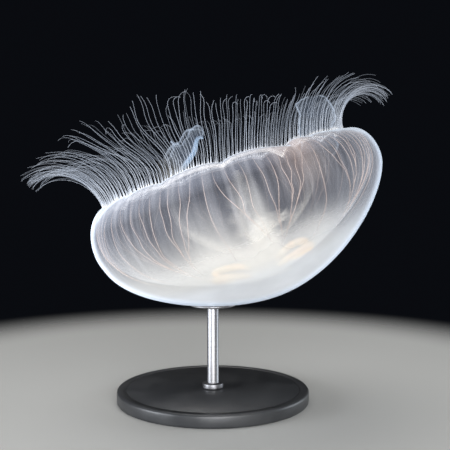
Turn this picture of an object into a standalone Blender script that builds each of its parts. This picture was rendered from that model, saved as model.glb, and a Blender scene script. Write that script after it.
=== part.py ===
"""Moon jellyfish, a still life-size display model, upside down in mid-pulse on a small stand.

The body is modelled in its own frame: the bell's axis is Z, the rim lies at height 0, the
crown hangs below it and the tentacles stream up from the rim. One empty tilts the whole
body and sets its lowest point on the stand's saucer. Units are metres, Z is up.
"""

import math

import bmesh
import bpy
import numpy as np
from mathutils import Vector
from mathutils.geometry import interpolate_bezier

MM = 0.001
GAP = 0.3 * MM  # clearance between pieces that touch

# Bell: the half outline of the outer surface, from the crown to the shoulder to the rim.
BELL_DEPTH = 82.0 * MM
SHOULDER_RADIUS = 87.5 * MM
SHOULDER_HEIGHT = -23.5 * MM
RIM_RADIUS = 70.0 * MM
CROWN_HANDLE = 0.45  # length of the crown's two curve handles, as a part of their spans
ROUND_HANDLE = 0.5523  # the same for a quarter of an ellipse
BELL_COLUMNS = 40
BELL_OUTER_RINGS = 11
BELL_INNER_RINGS = 8
GEL_FRACTIONS = (0.0, 0.35, 0.72, 0.88, 1.0)  # along the wall, from the crown to the rim
GEL_THICKNESS = tuple(t * MM for t in (13.5, 12.0, 6.5, 3.4, 2.0))
SHOULDER_LIFT = 4.5 * MM  # the shoulder is higher on the +X side and lower on the other
LIFT_POWER = 0.55  # below 1, the most of that lift is nearer the shoulder than the crown
BELLY_LIFT = 2.2 * MM  # the same lower down, for the belly
BELLY_POWER = 1.6
LEFT_FULLNESS = 0.042  # the bell is wider by this part on its -X side
RIGHT_TAPER = 0.020  # and narrower by this one on its +X side
LEFT_FLARE = 4.5 * MM  # its rim is less drawn in on the -X side
RIGHT_DRAW = 2.0 * MM  # and more so on the +X side
FLARE_REACH = 30.0 * MM  # how far below the rim that starts
FRONT_ARCH = 5.2 * MM  # the rim rises at the front, and less at the back
BACK_ARCH = 3.2 * MM
ARCH_REACH = 45.0 * MM

# Margin: the curled edge, parted into eight lobes, with notches of its own.
MARGIN_WIDTH = 8.0 * MM
LOBE_CUTS = tuple(math.radians(a) for a in (-156, -107, -62, -17, 28, 73, 118, 162))
NOTCHES = tuple(  # place round the rim in degrees, and depth in mm
    (math.radians(angle), depth * MM)
    for angle, depth in (
        (-157, 2.5), (-120, 2.5), (-93, 3.6), (-64, 5.0), (-51, 2.0), (-17, 3.0), (6, 1.2), (28, 3.0),
        (50, 1.2), (73, 3.0), (96, 1.2), (118, 3.0), (141, 1.2), (162, 3.0), (184, 1.2),
    )
)
NOTCH_HALF_WIDTH = math.radians(4.5)
NOTCH_TURN_IN = 0.6  # inward for each unit of dip
LOBE_STEPS = 14  # twice the tentacles, so that each stands on a column of the lobe
LOBE_RINGS = 3

# Tentacles: tapered tubes that rise from the margin and bend outward.
TENTACLES_PER_LOBE = 7
TENTACLE_POINTS = 7
TENTACLE_SIDES = (-1.0, -0.6, -0.3, 0.0, 0.5, 0.8, 1.0)  # cosine of the place round the rim
TENTACLE_LENGTHS = tuple(length * MM for length in (60, 57, 47, 34, 33, 42, 50))
TENTACLE_END_LEANS = (118, 62, 32, 25, 55, 110, 160)  # in degrees, from the bell's axis
TENTACLE_ROOT_RADIUS = 0.65 * MM
TENTACLE_TIP_RADIUS = 0.40 * MM
TENTACLE_ROOT_LEAN = math.radians(8)
TENTACLE_BEND_POWER = 1.3  # above 1, a tentacle bends more towards its tip
TENTACLE_INSET = 2.6 * MM  # the roots stand this far in from the margin's edge
TENTACLE_DEPTH = 0.55  # between the margin's two skins
UPRIGHT = 0.30  # how far those of the middle turn from the bell's axis to the true upright
LEFT_SWING = 0.60  # how far those left of the middle swing out on their way
SWING_SIDE = -0.5
SWING_WIDTH = 0.28
SWING_START = 0.1  # along a tentacle
SWING_SPAN = 0.7

# Mouth: a four-cornered collar, as radius and height over the bell's floor.
MOUTH_FOOT = tuple(radius * MM for radius in (0, 7, 13))
MOUTH_OUTSIDE = tuple((r * MM, z * MM) for r, z in ((11.5, -61), (10.35, -56), (12.4, -52)))
MOUTH_INSIDE = tuple((r * MM, z * MM) for r, z in ((10.6, -51.7), (8.4, -56), (6.4, -61), (0, -63)))
MOUTH_COLUMNS = 20
MOUTH_HEIGHT = 12.0 * MM
MOUTH_CORNERS = 0.10

# Oral arms: folded bands with frilled lips, along routes of X, Y and height in mm.
ARM_ROUTES = {
    "oral_arm_left": (
        (-9.5, 0, -51), (-24, -3, -44), (-37, -5, -31), (-41, -6, -15), (-34, -5, -1),
        (-26.5, -3, 6.5), (-18, -1, 13.5), (-14, 0, 20.3), (-10.7, 0, 20.2),
    ),
    "oral_arm_right": (
        (9.5, 0, -51), (24, 4, -45), (40, 8, -32), (48, 10, -17), (54, 11, -3), (57, 11, 11),
        (59.5, 10, 24),
    ),
    "oral_arm_front": (
        (0, -9.5, -51), (3, -21, -47.5), (7, -33, -43.5), (10, -43, -40), (12, -50, -37),
        (13, -55, -34), (13, -58, -31),
    ),
    "oral_arm_back": (
        (0, 9.5, -51), (-3, 22, -46), (-5, 35, -39), (-4, 46, -31), (-2, 54, -22),
        (0, 58, -13), (2, 58, -4),
    ),
}
ARM_SHAPES = {  # at the tip: turn about the midrib, fold of the lips, width, length of taper
    "oral_arm_left": (math.radians(180), math.radians(66), 1.35, 0.26),
    "oral_arm_right": (math.radians(-90), math.radians(12), 1.1, 0.10),
    "oral_arm_front": (0.0, math.radians(15), 1.2, 0.26),
    "oral_arm_back": (0.0, math.radians(38), 1.0, 0.26),
}
ARM_CHANGE_START = 0.28  # where, along an arm, its tip's shape starts to show
ARM_CHANGE_SPAN = 0.28
ARM_HALF_WIDTH = 8.5 * MM
ARM_ROOT_WIDTH = 0.62
ARM_END_WIDTH = 0.25
ARM_THICKNESS = 1.5 * MM
ARM_FRILL = 2.2 * MM
ARM_FRILL_WAVES = 5
ARM_FRILL_SHIFT = 1.3  # of the frill's waves, from the midrib to a lip, in radians
ARM_WIDENING = 1.6  # from the root on, for each arm's length
ARM_END_POWER = 0.6  # rounds the tip
ARM_RINGS = 10  # in each of an arm's two lengths
ARM_STATIONS = (-1.0, -0.5, 0.0, 0.5, 1.0)  # across the arm, from lip to lip
ARM_FOLD = math.radians(38)  # each lip is folded up this far from the midrib

# Gonads: four horseshoes on the floor of the bell.
GONAD_RING_RADIUS = 27.0 * MM
GONAD_BEND_RADIUS = 9.8 * MM
GONAD_TUBE_RADIUS = 2.3 * MM
GONAD_SWEEP = math.radians(285)
GONAD_POINTS = 12
GONAD_END_RADIUS = 0.75  # as a part of the radius at the middle

# Pose and stand.
TILT_SIDE = math.radians(-17.8)  # the opening leans to -X
TILT_BACK = math.radians(-3.0)  # and a little to +Y
BASE_RADIUS = 58.0 * MM
BASE_HEIGHT = 8.0 * MM
BASE_EDGE = 1.6 * MM
BASE_SIDES = 44
ROD_RADIUS = 3.5 * MM
ROD_SIDES = 24
SUPPORT_HEIGHT = 60.0 * MM  # of the body's lowest point over the floor
SAUCER_RADIUS = 14.0 * MM
SAUCER_THICKNESS = 2.4 * MM
SAUCER_SIDES = 36
CUTTER_RINGS_LEFT_OUT = 3  # of the bell's, at the margin's side

# Material colours (linear), roughness and metallic.
GEL = ((0.62, 0.68, 0.78), 0.25, 0.0)
MARGIN = ((0.90, 0.91, 0.95), 0.35, 0.0)
ARM = ((0.82, 0.83, 0.86), 0.40, 0.0)
MOUTH = ((0.85, 0.80, 0.76), 0.40, 0.0)
GONAD = ((0.90, 0.72, 0.52), 0.50, 0.0)
STAND_BASE = ((0.030, 0.032, 0.036), 0.35, 0.0)
STAND_STEEL = ((0.60, 0.60, 0.61), 0.28, 1.0)


def clear_scene():
    for obj in list(bpy.data.objects):
        bpy.data.objects.remove(obj, do_unlink=True)


def new_collection(name, shown):
    collection = bpy.data.collections.new(name)
    bpy.context.scene.collection.children.link(collection)
    collection.hide_render = not shown
    return collection


def new_object(name, mesh, collection, parent=None):
    obj = bpy.data.objects.new(name, mesh)
    collection.objects.link(obj)
    obj.parent = parent
    return obj


def finish(obj, look):
    """Gives a piece its own material."""
    colour, roughness, metallic = look
    material = bpy.data.materials.new(obj.name)
    material.use_nodes = True
    shader = material.node_tree.nodes["Principled BSDF"]
    shader.inputs["Base Color"].default_value = (*colour, 1.0)
    shader.inputs["Roughness"].default_value = roughness
    shader.inputs["Metallic"].default_value = metallic
    obj.data.materials.clear()
    obj.data.materials.append(material)
    return obj


def applied(obj):
    """Swaps an object's data for the mesh that its curve or modifiers make."""
    bpy.context.view_layer.update()
    graph = bpy.context.evaluated_depsgraph_get()
    mesh = bpy.data.meshes.new_from_object(obj.evaluated_get(graph))
    collection = obj.users_collection[0]
    name, parent, matrix = obj.name, obj.parent, obj.matrix_basis.copy()
    bpy.data.objects.remove(obj, do_unlink=True)
    made = new_object(name, mesh, collection, parent)
    made.matrix_basis = matrix
    tidy_mesh(mesh)
    return made


def tidy_mesh(mesh):
    """Welds what coincides and turns every face outward."""
    bm = bmesh.new()
    bm.from_mesh(mesh)
    bmesh.ops.remove_doubles(bm, verts=bm.verts, dist=1e-6)
    bmesh.ops.recalc_face_normals(bm, faces=bm.faces)
    bm.to_mesh(mesh)
    bm.free()


def boolean(obj, operation, other):
    modifier = obj.modifiers.new(operation.lower(), "BOOLEAN")
    modifier.operation = operation
    modifier.solver = "EXACT"
    modifier.object = other


# ---------------------------------------------------------------- the bell's wall


def outer_line():
    """The outer half outline as a fine polyline of radius and height, crown first."""
    span_r = SHOULDER_RADIUS
    span_z = BELL_DEPTH + SHOULDER_HEIGHT
    crown = interpolate_bezier(
        Vector((0, -BELL_DEPTH)),
        Vector((span_r * CROWN_HANDLE, -BELL_DEPTH)),
        Vector((span_r, SHOULDER_HEIGHT - span_z * CROWN_HANDLE)),
        Vector((span_r, SHOULDER_HEIGHT)),
        160,
    )
    curl = interpolate_bezier(
        Vector((span_r, SHOULDER_HEIGHT)),
        Vector((span_r, SHOULDER_HEIGHT * (1 - ROUND_HANDLE))),
        Vector((RIM_RADIUS + (span_r - RIM_RADIUS) * ROUND_HANDLE, 0)),
        Vector((RIM_RADIUS, 0)),
        60,
    )
    return np.array([tuple(p)[:2] for p in [*crown, *curl[1:]]])


LINE = outer_line()
LINE_STEPS = np.linalg.norm(np.diff(LINE, axis=0), axis=1)
LINE_LENGTHS = np.concatenate([[0.0], np.cumsum(LINE_STEPS)])
WALL_LENGTH = LINE_LENGTHS[-1]
LINE_TANGENTS = np.gradient(LINE, LINE_LENGTHS, axis=0)


def wall(length, depth):
    """Radius and height in the wall: a length from the crown, and a depth from the outer
    surface (0) to the inner one (1)."""
    r, z = (np.interp(length, LINE_LENGTHS, LINE[:, i]) for i in (0, 1))
    tr, tz = (np.interp(length, LINE_LENGTHS, LINE_TANGENTS[:, i]) for i in (0, 1))
    size = math.hypot(tr, tz)
    inward = depth * np.interp(length / WALL_LENGTH, GEL_FRACTIONS, GEL_THICKNESS)
    return max(r - inward * tz / size, 0.0), z + inward * tr / size


def bell_rings(depth, count):
    """The bell's rings on one of its surfaces, as radius and height, crown first."""
    lengths = np.linspace(0, WALL_LENGTH - MARGIN_WIDTH, count)
    return [wall(s, depth) for s in lengths]


def floor_height(radius):
    """Height of the bell's inner floor, as its rings have it, at a distance from the axis."""
    floor = np.array(bell_rings(1.0, BELL_INNER_RINGS))
    return float(np.interp(radius, floor[:, 0], floor[:, 1]))


def notch_depth(angle):
    """How far the margin's edge is drawn back at this angle round the bell."""
    depth = 0.0
    for centre, most in NOTCHES:
        apart = math.remainder(angle - centre, math.tau)
        depth += most * math.exp(-((apart / NOTCH_HALF_WIDTH) ** 2))
    return depth


def rise(value):
    """From 0 to 1 as the value does, level at both ends."""
    value = min(max(value, 0.0), 1.0)
    return value * value * (3 - 2 * value)


def shaped(radius, height, angle):
    """A point of the round bell, moved to where the living bell has it: the shoulder is
    raised on the +X side and lowered on the other, which is also fuller, and the rim
    arches up at the front and, less, at the back."""
    below = min(max(-height / BELL_DEPTH, 0.0), 1.0)
    lift = SHOULDER_LIFT * math.sin(math.pi * below**LIFT_POWER)
    lift += BELLY_LIFT * math.sin(math.pi * below**BELLY_POWER)
    lift *= math.cos(angle) * radius / SHOULDER_RADIUS
    arch = (FRONT_ARCH if math.sin(angle) < 0 else BACK_ARCH) * math.sin(angle) ** 2
    arch *= min(max(1 + height / ARCH_REACH, 0.0), 1.0) ** 2
    left = ((1 - math.cos(angle)) / 2) ** 2
    right = ((1 + math.cos(angle)) / 2) ** 2
    flare = (LEFT_FLARE * left - RIGHT_DRAW * right) * min(max(1 + height / FLARE_REACH, 0.0), 1.0)
    radius = radius * (1 + LEFT_FULLNESS * left - RIGHT_TAPER * right) + flare
    return Vector((radius * math.cos(angle), radius * math.sin(angle), height + lift + arch))


def margin_place(length, depth, angle):
    """A point of the margin's wall, which dips and turns in at the notches, by an amount
    that grows from nothing at the bell to the whole at the free edge."""
    along_margin = (length - WALL_LENGTH) / MARGIN_WIDTH + 1.0
    dip = notch_depth(angle) * min(max(along_margin, 0.0), 1.0) ** 2
    place = shaped(*wall(length, depth), angle)
    inward = Vector((-math.cos(angle), -math.sin(angle), 0.0))
    return place + (inward * NOTCH_TURN_IN - Vector((0, 0, 1))) * float(dip)


def reshape(mesh):
    for vertex in mesh.vertices:
        x, y, z = vertex.co
        vertex.co = shaped(math.hypot(x, y), z, math.atan2(y, x))


def turned(name, outline, columns, collection, parent=None):
    """A closed outline of radius and height, turned round the Z axis."""
    mesh = bpy.data.meshes.new(name)
    edges = [(i, i + 1) for i in range(len(outline) - 1)]
    if outline[0][0] > 0:
        edges.append((len(outline) - 1, 0))
    mesh.from_pydata([(r, 0, z) for r, z in outline], edges, [])
    obj = new_object(name, mesh, collection, parent)
    screw = obj.modifiers.new("turn", "SCREW")
    screw.steps = screw.render_steps = columns
    screw.use_merge_vertices = True
    screw.merge_threshold = 1e-5
    screw.use_normal_calculate = True
    return applied(obj)


def loft(name, rings, collection, parent):
    """A closed skin over rings that have the same number of points, with flat ends."""
    bm = bmesh.new()
    rows = [[bm.verts.new(p) for p in ring] for ring in rings]
    for near, far in zip(rows, rows[1:]):
        for i in range(len(near)):
            j = (i + 1) % len(near)
            bm.faces.new((near[i], near[j], far[j], far[i]))
    half = len(rows[0]) // 2
    for row in (rows[0], rows[-1]):
        for i in range(half - 1):
            bm.faces.new((row[i], row[i + 1], row[-2 - i], row[-1 - i]))
    bmesh.ops.recalc_face_normals(bm, faces=bm.faces)
    mesh = bpy.data.meshes.new(name)
    bm.to_mesh(mesh)
    bm.free()
    return new_object(name, mesh, collection, parent)


def make_bell(collection, pose):
    outer = bell_rings(0.0, BELL_OUTER_RINGS)
    inner = bell_rings(1.0, BELL_INNER_RINGS)
    bell = turned("bell", outer + inner[::-1], BELL_COLUMNS, collection, pose)
    reshape(bell.data)
    return finish(bell, GEL)


# ---------------------------------------------------------------- margin and tentacles


def tentacle_path(angle):
    """A tentacle's points: it leaves the margin nearly along the bell's axis, then leans
    outward more and more, the most on the +X side. Those of the middle stay upright, and
    those left of it swing out and back."""
    side = math.cos(angle)
    end_lean = math.radians(np.interp(side, TENTACLE_SIDES, TENTACLE_END_LEANS))
    swing = LEFT_SWING * math.exp(-(((side - SWING_SIDE) / SWING_WIDTH) ** 2))
    length = float(np.interp(side, TENTACLE_SIDES, TENTACLE_LENGTHS))
    point = margin_place(WALL_LENGTH - TENTACLE_INSET, TENTACLE_DEPTH, angle)
    points = [point]
    step = length / (TENTACLE_POINTS - 1)
    for i in range(TENTACLE_POINTS - 1):
        t = (i + 0.5) / (TENTACLE_POINTS - 1)
        lean = TENTACLE_ROOT_LEAN + (end_lean - TENTACLE_ROOT_LEAN) * t**TENTACLE_BEND_POWER
        swung = swing * math.sin(math.pi * min(max((t - SWING_START) / SWING_SPAN, 0.0), 1.0))
        heading = Vector((math.cos(angle), math.sin(angle), 0)) * math.sin(lean)
        heading.x += UPRIGHT * (1 - side**2) * math.cos(lean) - swung
        heading.z = math.cos(lean)
        point = point + heading.normalized() * step
        points.append(point)
    return points


def tentacle_tubes(name, angles, collection, pose):
    """One tapered tube for each angle, all in one mesh."""
    curve = bpy.data.curves.new(name, "CURVE")
    curve.dimensions = "3D"
    curve.bevel_depth = TENTACLE_ROOT_RADIUS
    curve.bevel_resolution = 0
    curve.use_fill_caps = True
    taper = TENTACLE_TIP_RADIUS / TENTACLE_ROOT_RADIUS
    for angle in angles:
        path = tentacle_path(angle)
        spline = curve.splines.new("POLY")
        spline.points.add(len(path) - 1)
        for i, (knot, point) in enumerate(zip(spline.points, path)):
            knot.co = (*point, 1.0)
            knot.radius = 1.0 + (taper - 1.0) * i / (len(path) - 1)
    return applied(new_object(name, curve, collection, pose))


def make_lobe(number, start, end, collection, guides, pose):
    """A length of the curled margin between two cuts, with its tentacles joined on."""
    half_cut = 0.5 * GAP / RIM_RADIUS
    lengths = np.linspace(WALL_LENGTH - MARGIN_WIDTH + 1.5 * GAP, WALL_LENGTH, LOBE_RINGS + 1)
    wall_places = [(s, 0.0) for s in lengths] + [(s, 1.0) for s in lengths[::-1]]
    turns = np.linspace(start + half_cut, end - half_cut, LOBE_STEPS + 1)
    rings = [[margin_place(s, d, turn) for s, d in wall_places] for turn in turns]
    lobe = loft(f"margin_lobe_{number}", rings, collection, pose)
    places = (np.arange(TENTACLES_PER_LOBE) + 0.5) / TENTACLES_PER_LOBE
    angles = start + (end - start) * places
    tubes = tentacle_tubes(f"tentacle_guide_{number}", angles, guides, pose)
    boolean(lobe, "UNION", tubes)
    return finish(applied(lobe), MARGIN)


def make_margin(collection, guides, pose):
    ends = [*LOBE_CUTS[1:], LOBE_CUTS[0] + math.tau]
    for number, (start, end) in enumerate(zip(LOBE_CUTS, ends), 1):
        make_lobe(number, start, end, collection, guides, pose)


# ---------------------------------------------------------------- mouth, arms, gonads


def make_mouth(collection, pose):
    """The four-cornered collar that stands on the bell's floor, open at the top."""
    foot = [(radius, floor_height(radius) + GAP) for radius in MOUTH_FOOT]
    outline = [*foot, *MOUTH_OUTSIDE, *MOUTH_INSIDE]
    mouth = turned("mouth", outline, MOUTH_COLUMNS, collection, pose)
    for vertex in mouth.data.vertices:
        x, y, z = vertex.co
        part = min(max((z - floor_height(0.0)) / MOUTH_HEIGHT, 0.0), 1.0)
        grow = 1.0 + MOUTH_CORNERS * part * math.cos(4 * math.atan2(y, x))
        vertex.co = (x * grow, y * grow, z)
    reshape(mouth.data)
    return finish(mouth, MOUTH)


def along(route, t):
    """A point at t (0 to 1) on the smooth curve through a route's points."""
    last = len(route) - 1
    i = min(int(t * last), last - 1)
    u = t * last - i
    p0, p1, p2, p3 = (route[min(max(i + k, 0), last)] for k in (-1, 0, 1, 2))
    a = 2 * p1
    b = (p2 - p0) * u
    c = (2 * p0 - 5 * p1 + 4 * p2 - p3) * u**2
    d = (-p0 + 3 * p1 - 3 * p2 + p3) * u**3
    return (a + b + c + d) / 2


def arm_ring(route, side, shape, t):
    """The closed section of an oral arm at t: a folded band with frilled lips, which turns
    about its midrib and changes its fold and width towards the tip."""
    turn, end_fold, end_width, taper = shape
    late = rise((t - ARM_CHANGE_START) / ARM_CHANGE_SPAN)
    centre = along(route, t)
    heading = (along(route, min(t + 0.02, 1)) - along(route, max(t - 0.02, 0))).normalized()
    flat = (side - heading * side.dot(heading)).normalized()
    upright = heading.cross(flat)
    across = flat * math.cos(turn * late) + upright * math.sin(turn * late)
    up = heading.cross(across)
    width = min(ARM_ROOT_WIDTH + ARM_WIDENING * t, 1 + (end_width - 1) * late)
    width *= max(min((1.01 - t) / taper, 1.0) ** ARM_END_POWER, ARM_END_WIDTH)
    fold = ARM_FOLD + (end_fold - ARM_FOLD) * late
    faces = [[], []]
    for station in ARM_STATIONS:
        reach = abs(station) * width * ARM_HALF_WIDTH
        wave = math.sin(math.tau * ARM_FRILL_WAVES * t + ARM_FRILL_SHIFT * station)
        frill = ARM_FRILL * wave * station**2 * width
        lip = across * math.copysign(reach * math.cos(fold), station)
        lip += up * (reach * math.sin(fold) + frill * math.cos(fold))
        lean = math.copysign(math.sin(fold), station) if station else 0.0
        normal = (up - across * lean).normalized()
        for k, half in enumerate((-0.5, 0.5)):
            faces[k].append(centre + lip + normal * half * ARM_THICKNESS)
    return faces[0] + faces[1][::-1]


def make_arms(collection, pose):
    """Each arm in two lengths, a base and a tip, with a thin cut between them."""
    for name, points in ARM_ROUTES.items():
        route = [Vector(p) * MM for p in points]
        side = Vector((0, 0, 1)).cross(route[0] - Vector((0, 0, route[0].z))).normalized()
        cut = GAP / sum((b - a).length for a, b in zip(route, route[1:]))
        for part, start, end in (("base", 0.0, 0.5 - cut), ("tip", 0.5, 1.0)):
            places = np.linspace(start, end, ARM_RINGS)
            rings = [arm_ring(route, side, ARM_SHAPES[name], t) for t in places]
            finish(loft(f"{name}_{part}", rings, collection, pose), ARM)


def make_gonads(collection, pose):
    """Four horseshoes that follow the floor of the bell, open towards the mouth."""
    for number in range(4):
        middle = math.radians(45 + 90 * number)
        curve = bpy.data.curves.new("gonad", "CURVE")
        curve.dimensions = "3D"
        curve.bevel_depth = GONAD_TUBE_RADIUS
        curve.bevel_resolution = 1
        curve.use_fill_caps = True
        spline = curve.splines.new("POLY")
        spline.points.add(GONAD_POINTS - 1)
        for i, knot in enumerate(spline.points):
            turn = middle + GONAD_SWEEP * (i / (GONAD_POINTS - 1) - 0.5)
            x = GONAD_RING_RADIUS * math.cos(middle) + GONAD_BEND_RADIUS * math.cos(turn)
            y = GONAD_RING_RADIUS * math.sin(middle) + GONAD_BEND_RADIUS * math.sin(turn)
            radius = math.hypot(x, y)
            slope = (floor_height(radius + MM) - floor_height(radius - MM)) / (2 * MM)
            clear = (GONAD_TUBE_RADIUS + 2 * GAP) * math.hypot(1.0, slope)
            place = shaped(radius, floor_height(radius) + clear, math.atan2(y, x))
            knot.co = (*place, 1.0)
            swell = math.sin(math.pi * i / (GONAD_POINTS - 1))
            knot.radius = GONAD_END_RADIUS + (1 - GONAD_END_RADIUS) * swell
        gonad = new_object(f"gonad_{number + 1}", curve, collection, pose)
        finish(applied(gonad), GONAD)


# ---------------------------------------------------------------- pose and stand


def set_on_stand(pose):
    """Tilts the body and puts the lowest point of its smooth outer surface over the stand."""
    pose.rotation_euler = (TILT_BACK, TILT_SIDE, 0)
    bpy.context.view_layer.update()
    places = [
        pose.matrix_world @ shaped(*wall(length, 0.0), angle)
        for length in np.linspace(0, WALL_LENGTH / 2, 60)
        for angle in np.linspace(0, math.tau, 72, endpoint=False)
    ]
    lowest = min(places, key=lambda place: place.z)
    pose.location = (-lowest.x, -lowest.y, SUPPORT_HEIGHT - lowest.z)
    bpy.context.view_layer.update()


def grown_bell(name, grow, guides, pose):
    """The bell's lower half as one solid, a little bigger all round, as a cutter."""
    lengths = np.linspace(0, WALL_LENGTH - MARGIN_WIDTH, BELL_OUTER_RINGS)
    outline = []
    for s in lengths[:-CUTTER_RINGS_LEFT_OUT]:
        r, z = wall(s, 0.0)
        inner_r, inner_z = wall(s, 1.0)
        out = Vector((r - inner_r, z - inner_z)).normalized() * grow
        outline.append((max(r + out.x, 0.0), z + out.y))
    outline.append((0.0, outline[-1][1]))
    cutter = turned(name, outline, BELL_COLUMNS, guides, pose)
    reshape(cutter.data)
    cutter.display_type = "WIRE"
    cutter.hide_render = True
    return cutter


def cylinder(name, radius, bottom, top, sides, collection):
    bpy.ops.mesh.primitive_cylinder_add(
        vertices=sides, radius=radius, depth=top - bottom, location=(0, 0, (top + bottom) / 2)
    )
    obj = bpy.context.object
    obj.name = obj.data.name = name
    for holder in list(obj.users_collection):
        holder.objects.unlink(obj)
    collection.objects.link(obj)
    return obj


def make_stand(collection, guides, pose):
    base = cylinder("stand_base", BASE_RADIUS, 0.0, BASE_HEIGHT, BASE_SIDES, collection)
    bevel = base.modifiers.new("edge", "BEVEL")
    bevel.width = BASE_EDGE
    bevel.segments = 1
    bevel.limit_method = "ANGLE"
    finish(base, STAND_BASE)

    saucer_bottom = SUPPORT_HEIGHT - GAP - SAUCER_THICKNESS
    rod_top = saucer_bottom - GAP
    rod = cylinder("stand_rod", ROD_RADIUS, BASE_HEIGHT + GAP, rod_top, ROD_SIDES, collection)
    finish(rod, STAND_STEEL)

    low, high = saucer_bottom - 2 * MM, SUPPORT_HEIGHT + 8 * MM
    saucer = cylinder("stand_saucer", SAUCER_RADIUS, low, high, SAUCER_SIDES, collection)
    boolean(saucer, "INTERSECT", grown_bell("saucer_outside", GAP + SAUCER_THICKNESS, guides, pose))
    boolean(saucer, "DIFFERENCE", grown_bell("saucer_inside", GAP, guides, pose))
    finish(applied(saucer), STAND_STEEL)


def hide_guides(guides):
    for guide in guides.objects:
        guide.hide_render = True
        guide.display_type = "WIRE"


def main():
    clear_scene()
    body = new_collection("moon_jellyfish", True)
    guides = new_collection("guides", False)
    pose = new_object("jelly_pose", None, body)
    set_on_stand(pose)
    make_bell(body, pose)
    make_margin(body, guides, pose)
    make_mouth(body, pose)
    make_arms(body, pose)
    make_gonads(body, pose)
    make_stand(body, guides, pose)
    hide_guides(guides)


main()
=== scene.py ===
import math

import bpy
import numpy as np
from mathutils import Matrix, Vector


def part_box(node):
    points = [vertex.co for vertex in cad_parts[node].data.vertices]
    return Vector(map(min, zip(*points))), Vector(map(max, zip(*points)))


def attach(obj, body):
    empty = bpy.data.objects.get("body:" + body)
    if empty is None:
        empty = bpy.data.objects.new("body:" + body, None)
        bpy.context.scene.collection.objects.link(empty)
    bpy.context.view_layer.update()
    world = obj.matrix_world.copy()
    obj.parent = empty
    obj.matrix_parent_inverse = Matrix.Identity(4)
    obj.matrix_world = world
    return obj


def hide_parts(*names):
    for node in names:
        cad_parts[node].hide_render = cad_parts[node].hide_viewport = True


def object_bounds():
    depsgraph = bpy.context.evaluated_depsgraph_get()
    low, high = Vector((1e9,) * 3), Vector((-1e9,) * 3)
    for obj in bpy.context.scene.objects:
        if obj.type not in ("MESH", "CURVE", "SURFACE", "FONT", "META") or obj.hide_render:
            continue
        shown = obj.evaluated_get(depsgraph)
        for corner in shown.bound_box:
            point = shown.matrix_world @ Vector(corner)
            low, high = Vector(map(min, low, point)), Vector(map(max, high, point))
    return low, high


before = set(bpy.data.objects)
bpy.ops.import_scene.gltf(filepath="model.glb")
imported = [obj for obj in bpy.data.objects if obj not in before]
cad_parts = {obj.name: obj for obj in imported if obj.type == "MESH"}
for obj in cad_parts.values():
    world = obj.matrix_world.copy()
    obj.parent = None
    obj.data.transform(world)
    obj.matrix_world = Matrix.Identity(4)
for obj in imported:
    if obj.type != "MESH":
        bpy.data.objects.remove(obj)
cad_low, cad_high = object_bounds()

# ------------------------------ studio
# A museum's plain table: the camera looks a little down at the model, which stands on a pale
# floor whose edge fades out into the dark, a painted pool of light. The room behind is kept dark,
# as for anything clear, so that the gel shows by the light it scatters.

FIELD_OF_VIEW = math.radians(25)
CAMERA_DISTANCE = 0.605
CAMERA_ELEVATION = math.radians(6)
AIM_SIDE = 0.0073  # of the stand's rod, towards +X
AIM_HEIGHT = 0.5554  # as a part of the model's height
# The floor's soft edge is a painted pool of light: from this radius the floor itself grows clear into the
# dark room.
PAINTED_POOL_RADIUS = 0.215  # the floor starts to fade here
PAINTED_POOL_EDGE = 0.10
FLOOR_RADIUS = 0.5
FLOOR_CORNERS = 64


def aim(obj, target):
    """Turns a camera or lamp so that it looks at a point."""
    obj.rotation_mode = "QUATERNION"
    obj.rotation_quaternion = (target - obj.location).to_track_quat("-Z", "Y")


def placed(name, data):
    """An object in the scene, at the origin."""
    obj = bpy.data.objects.new(name, data)
    bpy.context.scene.collection.objects.link(obj)
    return obj


rod_low, rod_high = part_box("stand_rod")
rod_axis = (rod_low + rod_high) / 2
look_at = Vector((rod_axis.x + AIM_SIDE, rod_axis.y, AIM_HEIGHT * cad_high.z))

camera_data = bpy.data.cameras.new("camera")
camera_data.sensor_width = 36
camera_data.lens = camera_data.sensor_width / 2 / math.tan(FIELD_OF_VIEW / 2)
camera = placed("camera", camera_data)
back = Vector((0, -math.cos(CAMERA_ELEVATION), math.sin(CAMERA_ELEVATION)))
camera.location = look_at + back * CAMERA_DISTANCE
aim(camera, look_at)
bpy.context.scene.camera = camera


def softbox(name, place, size, power, colour):
    """A square area lamp at a place beside the model, aimed at it and unseen itself."""
    lamp = bpy.data.lights.new(name, "AREA")
    lamp.size = size
    lamp.energy = power
    lamp.color = colour
    obj = placed(name, lamp)
    obj.location = look_at + Vector(place)
    obj.visible_camera = False
    aim(obj, look_at)


softbox("top_light", (-0.10, 0.20, 0.75), 0.55, 5.0, (1.0, 0.98, 0.95))
softbox("left_light", (-0.72, -0.30, -0.04), 0.50, 11.5, (0.90, 0.94, 1.0))
softbox("right_light", (0.72, 0.20, 0.05), 0.45, 3.4, (0.86, 0.93, 1.0))
softbox("front_light", (0.20, -0.80, 0.30), 0.60, 4.5, (1.0, 0.98, 0.96))
softbox("low_light", (0.05, -0.70, -0.05), 0.40, 8.4, (0.95, 0.97, 1.0))

world = bpy.data.worlds.new("dark_room")
world.use_nodes = True
world.node_tree.nodes["Background"].inputs["Color"].default_value = (0.003, 0.0035, 0.005, 1)
bpy.context.scene.world = world
bpy.context.scene.view_settings.view_transform = "Standard"
bpy.context.scene.cycles.transparent_max_bounces = 32


def shader(name):
    """A new material with its node tree and its Principled shader."""
    material = bpy.data.materials.new(name)
    material.use_nodes = True
    return material, material.node_tree, material.node_tree.nodes["Principled BSDF"]


def fill(tree, node, **sockets):
    """Gives a node's inputs values, by name or by number as in _2; a socket is linked."""
    for key, value in sockets.items():
        socket = node.inputs[int(key[1:]) if key[1:].isdigit() else key.replace("_", " ")]
        if isinstance(value, bpy.types.NodeSocket):
            tree.links.new(value, socket)
        else:
            socket.default_value = value


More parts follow.
